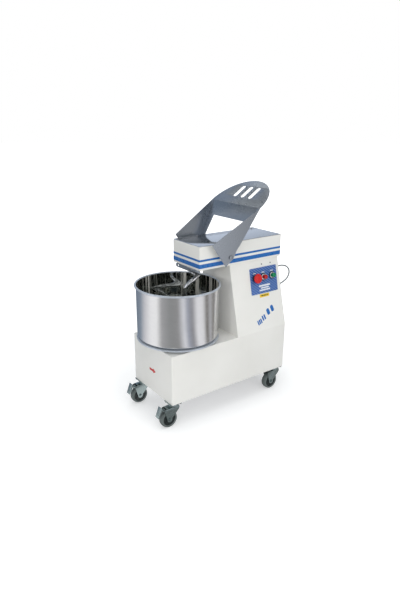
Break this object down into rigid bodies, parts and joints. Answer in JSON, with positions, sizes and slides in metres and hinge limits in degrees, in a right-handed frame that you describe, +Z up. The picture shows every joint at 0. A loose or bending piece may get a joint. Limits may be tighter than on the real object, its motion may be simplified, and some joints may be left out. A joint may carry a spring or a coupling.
{
  "type": "spiral dough mixer",
  "caption": "Floor-standing spiral dough mixer on braked castors with a turning stainless bowl, spiral hook and tilting guard.",
  "frame": {"origin": "floor under the centre of the machine's outline, its cord left out", "axes": "+Z up, -Y towards the bowl end, +X towards the control panel side"},
  "size_m": [0.376, 0.8463, 1.0018],
  "materials": {
    "white_paint": "semi-gloss powder coat",
    "polished_stainless": "polished",
    "guard_stainless": "brushed",
    "steel": "machined",
    "cast_iron": "painted grey",
    "zinc": "zinc plated",
    "wheel_rubber": "matt",
    "belt_rubber": "matt",
    "black_plastic": "matt",
    "grey_plastic": "matt",
    "panel_blue": "printed foil",
    "red_plastic": "gloss",
    "green_plastic": "gloss",
    "chrome": "polished",
    "bronze": "machined"
  },
  "bodies": {
    "frame": {"body_casing": "white_paint", "head_casing": "white_paint", "rear_access_panel": "white_paint", "head_top_cover": "polished_stainless", "chassis_plate": "steel", "gearmotor_shelf": "steel", "lower_drive_belt": "belt_rubber", "upper_drive_belt": "belt_rubber", "drive_lower_bearing": "cast_iron", "drive_upper_bearing": "cast_iron", "worm_gearbox": "cast_iron", "motor": "cast_iron", "electrical_box": "grey_plastic", "bowl_bearing_housing": "cast_iron", "spiral_bearing_housing": "cast_iron", "front_guard_bar": "guard_stainless", "hinge_bush_left": "bronze", "hinge_bush_right": "bronze", "guard_safety_switch": "black_plastic", "control_panel_plate": "panel_blue", "emergency_stop_switch_body": "black_plastic", "stop_switch_body": "chrome", "start_switch_body": "chrome", "power_cord": "grey_plastic", "power_cord_coil": "grey_plastic", "power_plug": "grey_plastic", "cable_gland": "grey_plastic", "cord_clip": "black_plastic", "castor_plate_front_left": "zinc", "castor_plate_front_right": "zinc", "castor_plate_rear_left": "zinc", "castor_plate_rear_right": "zinc"},
    "bowl": {"mixing_bowl": "polished_stainless", "bowl_base_ring": "polished_stainless", "bowl_turntable": "cast_iron", "bowl_spindle": "steel", "bowl_pulley": "cast_iron"},
    "spiral": {"spiral_hook": "polished_stainless", "spiral_shaft": "steel", "spiral_pulley": "cast_iron"},
    "drive": {"drive_shaft": "steel", "drive_lower_pulley": "cast_iron", "drive_upper_pulley": "cast_iron"},
    "guard": {"guard_lid": "guard_stainless", "guard_side_left": "guard_stainless", "guard_side_right": "guard_stainless", "guard_hinge_rod": "polished_stainless"},
    "emergency_stop": {"emergency_stop_button": "red_plastic"},
    "stop": {"stop_button": "red_plastic"},
    "start": {"start_button": "green_plastic"},
    "fork_front_left": {"castor_fork_front_left": "zinc"},
    "wheel_front_left": {"castor_wheel_front_left": "wheel_rubber"},
    "pedal_front_left": {"brake_pedal_front_left": "zinc"},
    "fork_front_right": {"castor_fork_front_right": "zinc"},
    "wheel_front_right": {"castor_wheel_front_right": "wheel_rubber"},
    "pedal_front_right": {"brake_pedal_front_right": "zinc"},
    "fork_rear_left": {"castor_fork_rear_left": "zinc"},
    "wheel_rear_left": {"castor_wheel_rear_left": "wheel_rubber"},
    "fork_rear_right": {"castor_fork_rear_right": "zinc"},
    "wheel_rear_right": {"castor_wheel_rear_right": "wheel_rubber"}
  },
  "joints": [
    {"name": "bowl_spin", "type": "hinge", "parent": "frame", "child": "bowl", "pos_m": [0, -0.155, 0.35], "axis": [0, 0, 1], "continuous": true},
    {"name": "spiral_spin", "type": "hinge", "parent": "frame", "child": "spiral", "pos_m": [0, -0.0655, 0.65], "axis": [0, 0, 1], "continuous": true},
    {"name": "drive_spin", "type": "hinge", "parent": "frame", "child": "drive", "pos_m": [0, 0.1445, 0.4], "axis": [0, 0, 1], "continuous": true},
    {"name": "guard_tilt", "type": "hinge", "parent": "frame", "child": "guard", "pos_m": [0, 0.0265, 0.711], "axis": [1, 0, 0], "range_deg": [0, 146.6]},
    {"name": "emergency_stop_press", "type": "slide", "parent": "frame", "child": "emergency_stop", "axis": [-0.9788, 0, -0.2047], "range_m": [0, 0.005], "stiffness_N_per_m": 2000, "springref_m": -0.002},
    {"name": "stop_press", "type": "slide", "parent": "frame", "child": "stop", "axis": [-0.9788, 0, -0.2047], "range_m": [0, 0.003], "stiffness_N_per_m": 1500, "springref_m": -0.001},
    {"name": "start_press", "type": "slide", "parent": "frame", "child": "start", "axis": [-0.9788, 0, -0.2047], "range_m": [0, 0.003], "stiffness_N_per_m": 1500, "springref_m": -0.001},
    {"name": "castor_swivel_front_left", "type": "hinge", "parent": "frame", "child": "fork_front_left", "pos_m": [-0.127, -0.266, 0.1], "axis": [0, 0, 1], "continuous": true},
    {"name": "castor_roll_front_left", "type": "hinge", "parent": "fork_front_left", "child": "wheel_front_left", "pos_m": [-0.127, -0.294, 0.04], "axis": [1, 0, 0], "continuous": true},
    {"name": "brake_press_front_left", "type": "hinge", "parent": "fork_front_left", "child": "pedal_front_left", "pos_m": [-0.127, -0.312, 0.084], "axis": [1, 0, 0], "range_deg": [0, 18]},
    {"name": "castor_swivel_front_right", "type": "hinge", "parent": "frame", "child": "fork_front_right", "pos_m": [0.127, -0.266, 0.1], "axis": [0, 0, 1], "continuous": true},
    {"name": "castor_roll_front_right", "type": "hinge", "parent": "fork_front_right", "child": "wheel_front_right", "pos_m": [0.127, -0.294, 0.04], "axis": [1, 0, 0], "continuous": true},
    {"name": "brake_press_front_right", "type": "hinge", "parent": "fork_front_right", "child": "pedal_front_right", "pos_m": [0.127, -0.312, 0.084], "axis": [1, 0, 0], "range_deg": [0, 18]},
    {"name": "castor_swivel_rear_left", "type": "hinge", "parent": "frame", "child": "fork_rear_left", "pos_m": [-0.127, 0.3325, 0.1], "axis": [0, 0, 1], "continuous": true},
    {"name": "castor_roll_rear_left", "type": "hinge", "parent": "fork_rear_left", "child": "wheel_rear_left", "pos_m": [-0.127, 0.3045, 0.04], "axis": [1, 0, 0], "continuous": true},
    {"name": "castor_swivel_rear_right", "type": "hinge", "parent": "frame", "child": "fork_rear_right", "pos_m": [0.127, 0.3325, 0.1], "axis": [0, 0, 1], "continuous": true},
    {"name": "castor_roll_rear_right", "type": "hinge", "parent": "fork_rear_right", "child": "wheel_rear_right", "pos_m": [0.127, 0.3045, 0.04], "axis": [1, 0, 0], "continuous": true}
  ],
  "couplings": [
    {"joint": "drive_spin", "follows": "bowl_spin", "ratio": 6},
    {"joint": "spiral_spin", "follows": "bowl_spin", "ratio": 6}
  ]
}
